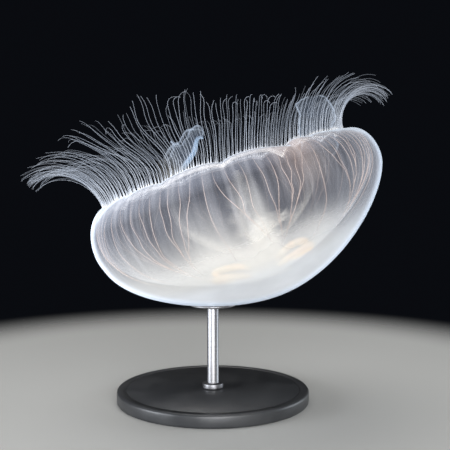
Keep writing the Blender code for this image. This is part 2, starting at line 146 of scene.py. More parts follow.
def add_node(tree, kind, settings=None, **sockets):
    """A node with settings and input values."""
    made = tree.nodes.new(kind)
    for key, value in (settings or {}).items():
        setattr(made, key, value)
    fill(tree, made, **sockets)
    return made


def sums(tree, operation, a, b=0.0, c=0.0, clamp=False):
    """A Math node's result, from numbers or sockets."""
    settings = {"operation": operation, "use_clamp": clamp}
    return add_node(tree, "ShaderNodeMath", settings, _0=a, _1=b, _2=c).outputs[0]


def ramp(tree, factor, stops):
    """A Color Ramp's colour through stops of position and colour or grey value."""
    made = tree.nodes.new("ShaderNodeValToRGB")
    elements = made.color_ramp.elements
    while len(elements) < len(stops):
        elements.new(1.0)
    for element, (position, colour) in zip(elements, stops):
        element.position = position
        if isinstance(colour, (int, float)):
            colour = (colour, colour, colour)
        element.color = (*colour, 1.0)
    tree.links.new(factor, made.inputs["Fac"])
    return made.outputs["Color"]


def smooth_rise(tree, value, low=0.0, high=1.0):
    """A value's soft rise from 0 to 1 between two of its levels."""
    soft = {"interpolation_type": "SMOOTHSTEP"}
    made = add_node(tree, "ShaderNodeMapRange", soft, Value=value, From_Min=low, From_Max=high)
    return made.outputs["Result"]


def object_place(tree):
    """The place on the piece, in its own coordinates."""
    return add_node(tree, "ShaderNodeTexCoord").outputs["Object"]


def circle(count):
    """Even turns of a full circle, without the last, which is the first again."""
    return np.linspace(0, math.tau, count, endpoint=False)


def outward(angles):
    """Level directions away from an upright axis: cosine, sine and nothing."""
    return np.stack([np.cos(angles), np.sin(angles), 0 * angles], -1)


floor_mesh = bpy.data.meshes.new("floor")
floor_mesh.from_pydata(outward(circle(FLOOR_CORNERS)) * FLOOR_RADIUS, [], [range(FLOOR_CORNERS)])
floor = placed("floor", floor_mesh)
floor_material, tree, surface = shader("pale_floor")
# Painted pool of light: past its radius the floor fades out by its alpha, so the dark room shows through.
away = add_node(tree, "ShaderNodeVectorMath", {"operation": "LENGTH"}, _0=object_place(tree))
distance = away.outputs["Value"]
fade = sums(tree, "MULTIPLY_ADD", distance, 1 / PAINTED_POOL_EDGE, -PAINTED_POOL_RADIUS / PAINTED_POOL_EDGE, clamp=True)
fill(tree, surface, Alpha=sums(tree, "SUBTRACT", 1.0, smooth_rise(tree, fade)))
fill(tree, surface, Base_Color=(0.36, 0.36, 0.35, 1), Roughness=0.9, Specular_IOR_Level=0.1)
floor_mesh.materials.append(floor_material)

# ------------------------------ bell
# The swimming bell is clear, milky jelly in one piece: a domed outer skin, a hollow inner
# one, thick at the crown and thin at the curled edge, where it is scalloped into lobes
# with a notch at each sense organ. It grows as one body and has no seam.

MM = 0.001
BELL_DEPTH = 82.0 * MM
SHOULDER_RADIUS = 87.5 * MM
SHOULDER_HEIGHT = -23.5 * MM
RIM_RADIUS = 70.0 * MM
CROWN_HANDLE = 0.45  # the cubics' handles, as parts of the width and height they span
ROUND_HANDLE = 0.5523
GEL_FRACTIONS = (0.0, 0.35, 0.72, 0.88, 1.0)  # along the wall, from the crown to the free edge
GEL_THICKNESS = (13.5 * MM, 12.0 * MM, 6.5 * MM, 3.4 * MM, 2.0 * MM)
SHOULDER_LIFT = 4.5 * MM
SHOULDER_POWER = 0.55  # below 1, the lift is most near the rim; above 1, near the crown
BELLY_LIFT = 2.2 * MM
BELLY_POWER = 1.6
LEFT_FULLNESS = 0.042
RIGHT_TAPER = 0.020
LEFT_FLARE = 4.5 * MM
RIGHT_DRAW = 2.0 * MM
FLARE_REACH = 30.0 * MM
FRONT_ARCH = 5.2 * MM
BACK_ARCH = 3.2 * MM
ARCH_REACH = 45.0 * MM
MARGIN_WIDTH = 8.0 * MM
NOTCHES = (  # place round the rim in degrees, depth in mm, reach to either side in degrees
    (-157, 2.5, 5, 5), (-138, 1.2, 4, 4), (-120, 2.5, 5, 5), (-93, 3.6, 4, 4), (-64, 8.0, 7, 2.2),
    (-51.5, 2.5, 4, 4), (-35, 1.2, 4, 4), (-17, 3.0, 5, 5), (6, 1.5, 4, 4), (28, 3.5, 5, 5),
    (50, 2.0, 4, 4), (73, 4.0, 5, 5), (96, 2.0, 4, 4), (118, 3.0, 5, 5), (141, 2.0, 4, 4),
    (162, 3.0, 5, 5), (184, 2.0, 4, 4),
)
NOTCH_REACH = 18.0 * MM  # down the wall
NOTCH_TURN_IN = 0.6
STRONG_NOTCH = math.radians(-64)
TILT_BACK = math.radians(-3.0)
TILT_SIDE = math.radians(-17.8)
CAD_COLUMNS = 40
CAD_RINGS = 11
BELL_COLUMNS = 440
OUTER_ROWS = 84
INNER_ROWS = 76
OUTER_EDGE = 2.1 * MM  # the white rim's width on the outer skin
INNER_EDGE = 1.2 * MM
BACK_EDGE = 0.16  # the white rim's strength at the back, as a part of the front's
VEIL_START, VEIL_SPAN = 0.88, 0.07  # the wall at the back turns clearer from here up
VEIL_DEPTH = 0.76
MILK_BANKS = (  # angle and width in degrees, and reach up the wall as a part of its length
    (-104, 20, 0.40), (-85, 6, 0.26), (-62, 18, 0.22), (-136, 18, 0.32), (-164, 20, 0.36),
)
BANK_FOOT, BANK_FOOT_SPAN = 0.43, 0.10  # along the wall, the banks come in here
BANK_TOP, BANK_TOP_SPAN = 0.44, 0.22  # and go out here, or further up by their reach
BANK_FULL = 0.05  # a bank that reaches this far up or more is at full strength
SPOKE_COUNTS = (37, 53, 71, 89, 113, 131)
SPOKE_START, SPOKE_SPAN = 0.50, 0.30
HEM_COUNTS = (173, 199, 211)
HEM_START, HEM_SPAN = 0.93, 0.05
BLUSH_WIDTH = math.radians(9)
BLUSH_PLACE, BLUSH_SPAN = 0.90, 0.13
BLUSH_STRENGTH = 0.3


def cubic(p0, p1, p2, p3, count):
    """Points on a cubic Bezier curve."""
    t = np.linspace(0, 1, count)[:, None]
    p0, p1, p2, p3 = (np.array(p, float) for p in (p0, p1, p2, p3))
    return (1 - t) ** 3 * p0 + 3 * (1 - t) ** 2 * t * p1 + 3 * (1 - t) * t**2 * p2 + t**3 * p3


crown_line = cubic(
    (0, -BELL_DEPTH),
    (SHOULDER_RADIUS * CROWN_HANDLE, -BELL_DEPTH),
    (SHOULDER_RADIUS, SHOULDER_HEIGHT - (BELL_DEPTH + SHOULDER_HEIGHT) * CROWN_HANDLE),
    (SHOULDER_RADIUS, SHOULDER_HEIGHT),
    160,
)
curl_line = cubic(
    (SHOULDER_RADIUS, SHOULDER_HEIGHT),
    (SHOULDER_RADIUS, SHOULDER_HEIGHT * (1 - ROUND_HANDLE)),
    (RIM_RADIUS + (SHOULDER_RADIUS - RIM_RADIUS) * ROUND_HANDLE, 0),
    (RIM_RADIUS, 0),
    60,
)
bell_line = np.concatenate([crown_line, curl_line[1:]])
line_lengths = np.concatenate([[0], np.cumsum(np.linalg.norm(np.diff(bell_line, axis=0), axis=1))])
line_tangents = np.gradient(bell_line, line_lengths, axis=0)
WALL_LENGTH = line_lengths[-1]


def notch_dip(angle):
    """How far the free edge is drawn back: a cusp at each notch, which falls off by an
    exponential of the angle, at a rate of its own to either side."""
    centres, depths, before, past = np.array(NOTCHES).T
    apart = np.degrees(angle[..., None]) - centres
    apart = (apart + 180) % 360 - 180
    return MM * (depths * np.exp(-np.abs(apart) / np.where(apart < 0, before, past))).sum(-1)


def bell_place(length, depth, angle, beyond=0.0, notched=1.0):
    """Points of the bell's wall. The outer half outline gives radius and height at a length
    from the crown; depth 0 to 1 goes from the outer to the inner skin along the inward
    normal; beyond moves along the tangent, past the free edge. The wall is lifted by two
    sines of the height times the cosine of the angle. The -X side is fuller and the +X side
    narrower by the square of a half cosine, and near the rim they flare out and draw in the
    same way, while it arches up by the squared sine. The last part of the wall dips and
    turns in at the notches, by the square of the way along it."""
    length, depth, angle, beyond = np.broadcast_arrays(length, depth, angle, beyond)
    r, z = (np.interp(length, line_lengths, bell_line[:, i]) for i in (0, 1))
    tr, tz = (np.interp(length, line_lengths, line_tangents[:, i]) for i in (0, 1))
    size = np.hypot(tr, tz)
    inward = depth * np.interp(length / WALL_LENGTH, GEL_FRACTIONS, GEL_THICKNESS)
    r = np.maximum(r + (beyond * tr - inward * tz) / size, 0)
    z = z + (beyond * tz + inward * tr) / size
    below = np.clip(-z / BELL_DEPTH, 0, 1)
    lift = SHOULDER_LIFT * np.sin(math.pi * below**SHOULDER_POWER)
    lift = lift + BELLY_LIFT * np.sin(math.pi * below**BELLY_POWER)
    lift = lift * np.cos(angle) * r / SHOULDER_RADIUS
    arch = np.where(np.sin(angle) < 0, FRONT_ARCH, BACK_ARCH) * np.sin(angle) ** 2
    arch = arch * np.clip(1 + z / ARCH_REACH, 0, 1) ** 2
    left, right = ((1 - np.cos(angle)) / 2) ** 2, ((1 + np.cos(angle)) / 2) ** 2
    flare = (LEFT_FLARE * left - RIGHT_DRAW * right) * np.clip(1 + z / FLARE_REACH, 0, 1)
    r = r * (1 + LEFT_FULLNESS * left - RIGHT_TAPER * right) + flare
    dip = notched * notch_dip(angle) * np.clip((length - WALL_LENGTH) / NOTCH_REACH + 1, 0, 1) ** 2
    r = r - NOTCH_TURN_IN * dip
    return np.stack([r * np.cos(angle), r * np.sin(angle), z + lift + arch - dip], -1)


tilt = np.array(Matrix.Rotation(TILT_SIDE, 3, "Y") @ Matrix.Rotation(TILT_BACK, 3, "X"))
cad_rings = np.linspace(0, WALL_LENGTH - MARGIN_WIDTH, CAD_RINGS)[:, None]
unplaced = bell_place(cad_rings, 0.0, circle(CAD_COLUMNS), notched=0.0).reshape(-1, 3) @ tilt.T
bell_low, bell_high = (np.array(corner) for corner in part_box("bell"))
bell_origin = (bell_low + bell_high - unplaced.min(0) - unplaced.max(0)) / 2


def posed(points):
    """Points of the body's own frame, tilted and set where the CAD body stands."""
    return points @ tilt.T + bell_origin


def build(name, points, faces, material):
    """An object from points and arrays of faces, one array for each number of corners."""
    mesh = bpy.data.meshes.new(name)
    corners = np.concatenate([f.ravel() for f in faces])
    sizes = np.concatenate([np.full(len(f), f.shape[1]) for f in faces])
    mesh.vertices.add(len(points))
    mesh.vertices.foreach_set("co", np.ascontiguousarray(points, np.float32).ravel())
    mesh.loops.add(len(corners))
    mesh.loops.foreach_set("vertex_index", corners.astype(np.int32))
    mesh.polygons.add(len(sizes))
    mesh.polygons.foreach_set("loop_start", (np.cumsum(sizes) - sizes).astype(np.int32))
    mesh.polygons.foreach_set("use_smooth", np.full(len(sizes), True))
    mesh.update(calc_edges=True)
    mesh.validate()
    mesh.materials.append(material)
    return placed(name, mesh)


def mark(obj, name, values):
    """A number for each point of a piece, which its material reads by name."""
    attribute = obj.data.attributes.new(name, "FLOAT", "POINT")
    attribute.data.foreach_set("value", np.ascontiguousarray(values, np.float32).ravel())


def grid_faces(rows, columns):
    """Quads between the rows of a grid of points, whose last column meets the first."""
    index = np.arange(rows * columns).reshape(rows, columns)
    right = np.roll(index, -1, axis=1)
    return np.stack([index[:-1], right[:-1], right[1:], index[1:]], -1).reshape(-1, 4)


def closed_faces(rows, columns, turned=False):
    """Faces of a grid with both ends closed: its quads, and a fan from its first row and one
    from its last to two points that come after the grid's. Turned, they face the other way."""
    first = np.arange(columns)
    after = np.roll(first, -1)
    final = (rows - 1) * columns
    pole = np.full(columns, rows * columns)
    fans = np.concatenate([
        np.stack([after, first, pole], -1),
        np.stack([first + final, after + final, pole + 1], -1),
    ])
    return [group[:, ::-1] if turned else group for group in (grid_faces(rows, columns), fans)]


def rise(values, start, span):
    """0 up to the start, 1 from a span past it, and straight between."""
    return np.clip((values - start) / span, 0, 1)


def new_group(name, inputs, output):
    """A shader node group with named inputs (name, default) and one output; with it come its
    inputs to read and its output to fill."""
    group = bpy.data.node_groups.new(name, "ShaderNodeTree")
    for label, default in inputs:
        kind = "NodeSocketVector" if default is None else "NodeSocketFloat"
        socket = group.interface.new_socket(label, in_out="INPUT", socket_type=kind)
        if default is not None:
            socket.default_value = default
    group.interface.new_socket(output, in_out="OUTPUT", socket_type="NodeSocketFloat")
    given = group.nodes.new("NodeGroupInput").outputs
    return group, given, group.nodes.new("NodeGroupOutput").inputs[0]


# Soft clouds: smooth noise, spread from Low to High.
milk, given, result = new_group(
    "milk_clouds", (("Vector", None), ("Scale", 30), ("Low", 0), ("High", 1)), "Cloud"
)
noise = add_node(milk, "ShaderNodeTexNoise", Vector=given["Vector"], Scale=given["Scale"], Detail=3.0)
level = add_node(
    milk, "ShaderNodeMapRange", Value=noise.outputs["Fac"], From_Min=0.3, From_Max=0.7,
    To_Min=given["Low"], To_Max=given["High"],
)
milk.links.new(level.outputs["Result"], result)

# Fine wet relief: small noise over a broader one, as a height.
grain, given, result = new_group("wet_grain", (("Vector", None), ("Scale", 900)), "Height")
fine = add_node(grain, "ShaderNodeTexNoise", Vector=given["Vector"], Scale=given["Scale"], Detail=4.0)
broad = sums(grain, "MULTIPLY", given["Scale"], 0.15)
slow = add_node(grain, "ShaderNodeTexNoise", Vector=given["Vector"], Scale=broad, Detail=1.0)
both = sums(grain, "MULTIPLY_ADD", slow.outputs["Fac"], 1.5, fine.outputs["Fac"])
grain.links.new(both, result)


def cloudy(tree, scale, low, high):
    """Soft clouds over a piece, between two values."""
    group = {"node_tree": milk}
    return add_node(
        tree, "ShaderNodeGroup", group, Vector=object_place(tree), Scale=scale, Low=low, High=high
    ).outputs[0]


def relief(tree, surface, height, strength, distance):
    """Joins a height to the shader's normal through a Bump node."""
    bump = add_node(tree, "ShaderNodeBump", Height=height, Strength=strength, Distance=distance)
    fill(tree, surface, Normal=bump.outputs["Normal"])


def grainy(tree, surface, scale, strength, distance):
    """A fine, wet unevenness of a surface."""
    group = add_node(tree, "ShaderNodeGroup", {"node_tree": grain}, Vector=object_place(tree), Scale=scale)
    relief(tree, surface, group.outputs[0], strength, distance)


def number(tree, name):
    """A number that a piece is marked with."""
    return add_node(tree, "ShaderNodeAttribute", {"attribute_name": name}).outputs["Fac"]


def blend(tree, factor, a, b):
    """A Mix node's colour: a where the factor is 0, b where it is 1."""
    return add_node(tree, "ShaderNodeMix", {"data_type": "RGBA"}, _0=factor, _6=a, _7=b).outputs[2]


def between(tree, factor, a, b):
    """A Mix node's number: a where the factor is 0, b where it is 1."""
    return add_node(tree, "ShaderNodeMix", {"data_type": "FLOAT"}, _0=factor, _2=a, _3=b).outputs[0]


gel, tree, surface = shader("milky_gel")
along = number(tree, "along_wall")
inner = number(tree, "inner_skin")
edge, spokes = number(tree, "free_edge"), number(tree, "spokes")
milk_bank, blush = number(tree, "milk_bank"), number(tree, "blush")
clouds = cloudy(tree, 26.0, -1.0, 1.0)
outer_tint = ramp(
    tree, along,
    [(0.0, (0.84, 0.85, 0.86)), (0.46, (0.74, 0.76, 0.78)), (0.66, (0.22, 0.225, 0.26)),
     (0.88, (0.19, 0.20, 0.24)), (0.97, (0.20, 0.215, 0.26)), (1.0, (0.42, 0.46, 0.56))],
)
inner_tint = ramp(
    tree, along,
    [(0.0, (0.66, 0.64, 0.58)), (0.46, (0.60, 0.58, 0.53)), (0.62, (0.14, 0.145, 0.16)),
     (0.90, (0.12, 0.125, 0.15)), (1.0, (0.28, 0.30, 0.35))],
)
tint = blend(tree, inner, outer_tint, inner_tint)
facing = add_node(tree, "ShaderNodeLayerWeight", Blend=0.5).outputs["Facing"]
# Painted pale sheen: where the skin is seen at a glance, the facing mask blends in a pale blue-white; the
# same mask adds opacity for the longer way through the gel.
grazing_sheen_and_opacity = sums(tree, "POWER", facing, 3.5)
# Painted rim light: along the outer skin's outline, where it is seen edge-on, the facing mask paints the gel
# bluish white and makes it more opaque.
outline = smooth_rise(tree, facing, 0.72, 0.92)
outline = sums(tree, "MULTIPLY", outline, sums(tree, "SUBTRACT", 1.0, inner))
# Over the tint go whitish streaks, milky banks, a pink blush, the painted pale sheen, the painted
# bluish-white rim light and the white free edge.
for share, colour in (
    (sums(tree, "MULTIPLY", spokes, 0.2), (0.85, 0.85, 0.90, 1)),
    (milk_bank, (0.60, 0.585, 0.55, 1)),
    (blush, (0.92, 0.62, 0.46, 1)),
    (sums(tree, "MULTIPLY", grazing_sheen_and_opacity, 0.7), (0.80, 0.84, 0.92, 1)),
    (outline, (0.72, 0.81, 0.94, 1)),
    (edge, (1.0, 0.98, 0.95, 1)),
):
    tint = blend(tree, share, tint, colour)
outer_body = ramp(
    tree, along,
    [(0.0, 0.42), (0.44, 0.34), (0.62, 0.14), (0.86, 0.09), (0.92, 0.42), (0.96, 0.62), (1.0, 0.62)],
)
inner_body = ramp(tree, along, [(0.0, 0.58), (0.46, 0.46), (0.62, 0.13), (0.90, 0.10), (1.0, 0.12)])
body = between(tree, inner, outer_body, inner_body)
skin_share = sums(tree, "MULTIPLY_ADD", inner, -0.60, 0.75)
opacity = sums(tree, "MULTIPLY", body, sums(tree, "MULTIPLY_ADD", clouds, 0.22, 1.0))
# The painted sheen and rim light add opacity as well as colour.
added = ((spokes, 0.035), (blush, 0.22), (milk_bank, 0.17), (grazing_sheen_and_opacity, skin_share), (outline, 0.45))
for part, share in added:
    opacity = sums(tree, "MULTIPLY_ADD", part, share, opacity)
opacity = sums(tree, "MULTIPLY", opacity, number(tree, "veil"))
opacity = sums(tree, "MULTIPLY_ADD", edge, 0.85, opacity, clamp=True)
fill(tree, surface, Base_Color=tint, Alpha=opacity, Roughness=0.4, IOR=1.34)
grainy(tree, surface, 420.0, 0.10, 0.0003)

bell_angles = circle(BELL_COLUMNS)
outer_lengths = np.linspace(0, WALL_LENGTH, OUTER_ROWS + 1)[1:]
inner_lengths = np.linspace(WALL_LENGTH, 0, INNER_ROWS + 1)[:-1]
round_over = np.radians((-60, -30, 0, 30, 60))
row_lengths = np.concatenate([outer_lengths, np.full(5, WALL_LENGTH), inner_lengths])
row_depths = np.concatenate([0 * outer_lengths, 0.5 + 0.5 * np.sin(round_over), 1 + 0 * inner_lengths])
row_beyond = np.concatenate([0 * outer_lengths, np.cos(round_over) * MM, 0 * inner_lengths])
bell_grid = bell_place(row_lengths[:, None], row_depths[:, None], bell_angles, row_beyond[:, None])
rows = len(row_lengths)
poles = bell_place(np.zeros(2), np.array([0.0, 1.0]), np.zeros(2))
bell_points = np.concatenate([bell_grid.reshape(-1, 3), poles])
bell_skin = build("bell_skin", posed(bell_points), closed_faces(rows, BELL_COLUMNS), gel)


def bell_mark(name, values):
    """Marks the bell with numbers for its rows and columns; the two poles get those of the
    rows next to them."""
    grid = np.broadcast_to(values, (rows, BELL_COLUMNS))
    mark(bell_skin, name, np.append(grid.ravel(), (grid[0, 0], grid[-1, 0])))


def drift(angles, counts, draw):
    """A smooth wave round the bell: sines of a few whole counts, in random phase."""
    return sum(np.sin(n * angles + draw.uniform(0, math.tau)) for n in counts) / len(counts)


row_fractions = (row_lengths / WALL_LENGTH)[:, None]
row_edge_width = OUTER_EDGE + (INNER_EDGE - OUTER_EDGE) * row_depths
row_edge = rise(row_lengths, WALL_LENGTH - row_edge_width, row_edge_width) ** 1.5
frontness = (1 - np.sin(bell_angles)) / 2
rng = np.random.default_rng(7)
spoke_wave = np.clip(drift(bell_angles, SPOKE_COUNTS, rng) * 2.2 + 0.15, 0, 1)
hem_wave = np.clip(drift(bell_angles, HEM_COUNTS, rng) * 2, 0, 1)
spoke_rise = rise(row_fractions, SPOKE_START, SPOKE_SPAN)
hem_rise = rise(row_fractions, HEM_START, HEM_SPAN)
blush_wave = np.exp(-(((bell_angles - STRONG_NOTCH + math.pi) % math.tau - math.pi) / BLUSH_WIDTH) ** 2)
blush_rise = np.exp(-(((row_fractions - BLUSH_PLACE) / BLUSH_SPAN) ** 2))
bank_reach = 0
for middle, width, reach in MILK_BANKS:
    apart = (np.degrees(bell_angles) - middle + 180) % 360 - 180
    bank_reach = bank_reach + reach * np.exp(-((apart / width) ** 2))
bank_foot = rise(row_fractions, BANK_FOOT, BANK_FOOT_SPAN)
bank_top = rise(BANK_TOP + bank_reach - row_fractions, 0, BANK_TOP_SPAN)
veil = VEIL_DEPTH * rise(row_fractions, VEIL_START, VEIL_SPAN) * rise(np.sin(bell_angles), 0, 0.4)
bell_mark("along_wall", row_fractions)
bell_mark("inner_skin", row_depths[:, None])
bell_mark("free_edge", row_edge[:, None] * (BACK_EDGE + (1 - BACK_EDGE) * frontness))
bell_mark("spokes", np.clip(spoke_rise * spoke_wave + hem_rise * hem_wave, 0, 1))
bell_mark("blush", BLUSH_STRENGTH * blush_rise * blush_wave)
bell_mark("milk_bank", bank_top * bank_foot * rise(bank_reach, 0, BANK_FULL))
bell_mark("veil", 1 - veil)
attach(bell_skin, "root")
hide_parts("bell", *[f"margin_lobe_{n}" for n in range(1, 9)])

# ------------------------------ canals
# Fine canals carry food from the stomach out to the edge, just under the inner skin. Half of
# the sixteen stems run straight out; the others fork again and again on the way, and all
# of them end in the ring canal that follows the rim.

CANAL_STEMS = 16
CANAL_START = 0.30  # along the wall, from the crown
CANAL_END = 0.975
CANAL_SPACING = 5.6 * MM
CANAL_DEPTH = 0.86
CANAL_POINTS = 22
CANAL_STEM_RADIUS = 0.30 * MM
CANAL_END_RADIUS = 0.19 * MM
CANAL_WANDER = 2.3 * MM
CANAL_SIDES = 6
CANAL_WAVES = (2, 3, 5, 8)  # half waves along a branch
FORK_LEAST = 1.5  # a wider part of the rim than this many spacings is shared by two branches
FORK_SHARES = (0.38, 0.62)
FORK_PLACES = (0.10, 0.30)  # along what is left of the way to the rim
FORK_OPENING = 0.9  # of the direction straight to each new branch's end
RING_POINTS = 440
RING_DEPTH = 0.7


def canal_branches(draw):
    """Each branch serves a part of the rim. In wall length and angle it is a cubic from where
    and how it starts to the middle of that part, where it arrives straight. Where the part
    is wider than the spacing, the branch stops short and two new ones go on from there, a
    little apart in direction, and share the part. Small waves fade at both ends."""
    stem_gap = math.tau / CANAL_STEMS
    single = CANAL_SPACING / RIM_RADIUS
    waiting = []
    for stem in range(CANAL_STEMS):
        centre = (stem + 0.5) * stem_gap
        half = single / 2 if stem % 2 else stem_gap - single / 2
        waiting.append((CANAL_START, centre, 0.0, centre - half, centre + half))
    branches = []
    t = np.linspace(0, 1, CANAL_POINTS)
    while waiting:
        start, angle, slope, low, high = waiting.pop()
        forks = high - low > FORK_LEAST * single
        span = CANAL_END - start
        stop = start + span * draw.uniform(*FORK_PLACES) if forks else CANAL_END
        part = t * (stop - start) / span
        lean, turn = slope * span, (low + high) / 2 - angle
        angles = angle + lean * part + (3 * turn - 2 * lean) * part**2 + (lean - 2 * turn) * part**3
        end = part[-1]
        end_slope = (lean + 2 * (3 * turn - 2 * lean) * end + 3 * (lean - 2 * turn) * end**2) / span
        wander = sum(draw.uniform(-1, 1) * np.sin(math.pi * k * t) / k for k in CANAL_WAVES)
        wander = wander * np.sin(math.pi * t) * CANAL_WANDER / RIM_RADIUS
        angles = angles + wander * min((stop - start) * 4, 1.0)
        branches.append((start + (stop - start) * t, angles))
        if forks:
            split = low + (high - low) * draw.uniform(*FORK_SHARES)
            for side_low, side_high in ((low, split), (split, high)):
                aside = ((side_low + side_high) / 2 - (low + high) / 2) / (CANAL_END - stop)
                waiting.append((stop, angles[-1], end_slope + FORK_OPENING * aside, side_low, side_high))
    return np.array(branches)


def unit(vectors):
    """Vectors of the same directions and of length 1."""
    return vectors / np.linalg.norm(vectors, axis=-1, keepdims=True)


def tubes(paths, radii, across, sides):
    """Closed tubes along paths, an array of tube, point and coordinate. Each ring is a circle
    in the plane of the given sideways direction and its cross product with the path. The
    walls face inwards and the caps outwards."""
    count, points = paths.shape[:2]
    ahead = unit(np.gradient(paths, axis=1))
    across = unit(across - ahead * (across * ahead).sum(-1, keepdims=True))
    up = np.cross(ahead, across)
    turn = circle(sides)[:, None]
    ring = np.cos(turn) * across[:, :, None] + np.sin(turn) * up[:, :, None]
    skin = paths[:, :, None] + np.broadcast_to(radii, paths.shape[:2])[:, :, None, None] * ring
    each = points * sides
    start = each * np.arange(count)[:, None]
    stop = start + each - sides
    pole = count * each + np.arange(count)[:, None]
    first = np.arange(sides)
    after = np.roll(first, -1)
    fans = [
        np.stack(np.broadcast_arrays(*corners), -1)
        for corners in ((pole, after + start, first + start), (pole + count, first + stop, after + stop))
    ]
    quads = grid_faces(points, sides)[:, ::-1] + start[..., None]
    points_all = np.concatenate([skin.reshape(-1, 3), paths[:, 0], paths[:, -1]])
    return points_all, [quads.reshape(-1, 4), np.concatenate(fans).reshape(-1, 3)]


def strip_map(count, points, sides):
    """A flat patch for each tube, in a square of cells: round the tube to the right, along it
    upwards, in the order of the corners that tubes() makes, with the caps below and above."""
    across = math.ceil(math.sqrt(count))
    cell = np.stack([np.arange(count) % across, np.arange(count) // across], -1)[:, None, None]
    along, around = np.meshgrid(np.arange(points - 1), np.arange(sides), indexing="ij")
    corner_u = np.stack([around, around + 1, around + 1, around], -1).reshape(-1, 4) / sides
    corner_v = np.stack([along + 1, along + 1, along, along], -1).reshape(-1, 4) / (points - 1)
    quads = np.stack([corner_u, corner_v], -1)
    step = np.arange(sides)
    low = np.stack([step + 0.5, step + 1, step], -1) / sides
    root = np.stack([low, low * 0 + (-0.08, 0, 0)], -1)
    high = np.stack([step + 0.5, step, step + 1], -1) / sides
    tip = np.stack([high, high * 0 + (1.08, 1, 1)], -1)
    spread = [((0.15 + 0.7 * part) + cell) / across for part in (quads, root, tip)]
    return np.concatenate([part.reshape(-1, 2) for part in spread])


def flat_map(obj, corners):
    """Gives a piece the UV map that its colours are baked through."""
    layer = obj.data.uv_layers.new(name="OFBake")
    layer.data.foreach_set("uv", np.ascontiguousarray(corners, np.float32).ravel())


def per_tube(values, sides):
    """Values for each tube and point, repeated for the points that tubes() makes."""
    return np.concatenate([np.repeat(values.reshape(-1), sides), values[:, 0], values[:, -1]])


def join(*parts):
    """One set of points and face arrays from several."""
    points, faces, shift = [], {}, 0
    for part_points, part_faces in parts:
        points.append(part_points)
        for group in part_faces:
            faces.setdefault(group.shape[1], []).append(group + shift)
        shift += len(part_points)
    return np.concatenate(points), [np.concatenate(groups) for groups in faces.values()]


canal_tint, tree, surface = shader("canal")
along = number(tree, "along_wall")
tint = ramp(tree, along, [(0.3, (0.80, 0.70, 0.60)), (0.6, (0.52, 0.38, 0.31)), (1.0, (0.50, 0.41, 0.37))])
clouds = cloudy(tree, 40.0, 0.55, 1.0)
thick = ramp(tree, along, [(0.36, 0.0), (0.50, 0.15), (0.64, 0.52), (0.90, 0.58), (1.0, 0.40)])
soft = sums(tree, "SUBTRACT", 1.0, add_node(tree, "ShaderNodeLayerWeight", Blend=0.5).outputs["Facing"])
shown = sums(tree, "MULTIPLY", sums(tree, "MULTIPLY", thick, clouds), soft)
shown = sums(tree, "MULTIPLY", shown, number(tree, "nearness"))
fill(tree, surface, Base_Color=tint, Alpha=shown, Roughness=0.5)

branches = canal_branches(np.random.default_rng(21))
canal_fractions, canal_angles = branches[:, 0], branches[:, 1]
canal_lengths = canal_fractions * WALL_LENGTH
canal_lines = posed(bell_place(canal_lengths, CANAL_DEPTH, canal_angles))
sideways = outward(canal_angles + math.pi / 2) @ tilt.T
canal_radii = np.interp(canal_fractions, (CANAL_START, CANAL_END), (CANAL_STEM_RADIUS, CANAL_END_RADIUS))
canal_points, canal_faces = tubes(canal_lines, canal_radii, sideways, CANAL_SIDES)
canals = build("radial_canals", canal_points, canal_faces, canal_tint)
mark(canals, "along_wall", per_tube(canal_fractions, CANAL_SIDES))
mark(canals, "nearness", per_tube(0.65 - 0.35 * np.sin(canal_angles), CANAL_SIDES))
flat_map(canals, strip_map(len(branches), CANAL_POINTS, CANAL_SIDES))
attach(canals, "root")

ring_angles = circle(RING_POINTS)
ring_turn = circle(CANAL_SIDES)[:, None, None]
ring_skin = bell_place(CANAL_END * WALL_LENGTH, RING_DEPTH, ring_angles)
ring_skin = ring_skin + CANAL_END_RADIUS * np.cos(ring_turn) * outward(ring_angles)
ring_skin = ring_skin + CANAL_END_RADIUS * np.sin(ring_turn) * (0, 0, 1)
ring_faces = grid_faces(CANAL_SIDES + 1, RING_POINTS)[:, ::-1]  # these face inwards too
ring_faces = ring_faces % (CANAL_SIDES * RING_POINTS)
ring_canal = build("ring_canal", posed(ring_skin.reshape(-1, 3)), [ring_faces], canal_tint)
for name in ("along_wall", "nearness"):
    mark(ring_canal, name, np.ones(CANAL_SIDES * RING_POINTS))
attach(ring_canal, "root")

# ------------------------------ tentacles
# Hundreds of hair-fine tentacles stand in a close row along the edge. Each has a swollen white
# root like a bead, and streams away from the pulse: up, then out, with a loose tip.

TENTACLES = 300
TENTACLE_POINTS = 19
TENTACLE_PLACES = (-1.0, -0.6, -0.3, 0.0, 0.5, 0.8, 1.0)  # the cosine of the place round the rim
TENTACLE_LENGTHS = tuple(length * MM for length in (60, 57, 47, 34, 33, 42, 50))
TENTACLE_END_LEANS = (118, 62, 32, 25, 55, 110, 160)  # in degrees, from the bell's axis
TENTACLE_BEAD_RADIUS = 0.62 * MM
TENTACLE_NECK_RADIUS = 0.36 * MM
TENTACLE_RADIUS = 0.20 * MM
TENTACLE_TIP_RADIUS = 0.11 * MM
TENTACLE_ROOT_LEAN = math.radians(8)
TENTACLE_INSET = 1.7 * MM
TENTACLE_STAGGER = 0.5 * MM
TENTACLE_DEPTH = 0.25  # between the edge's two skins
HAIR_SIDES = 3
UPRIGHT = 0.30
LEFT_SWING = 0.60


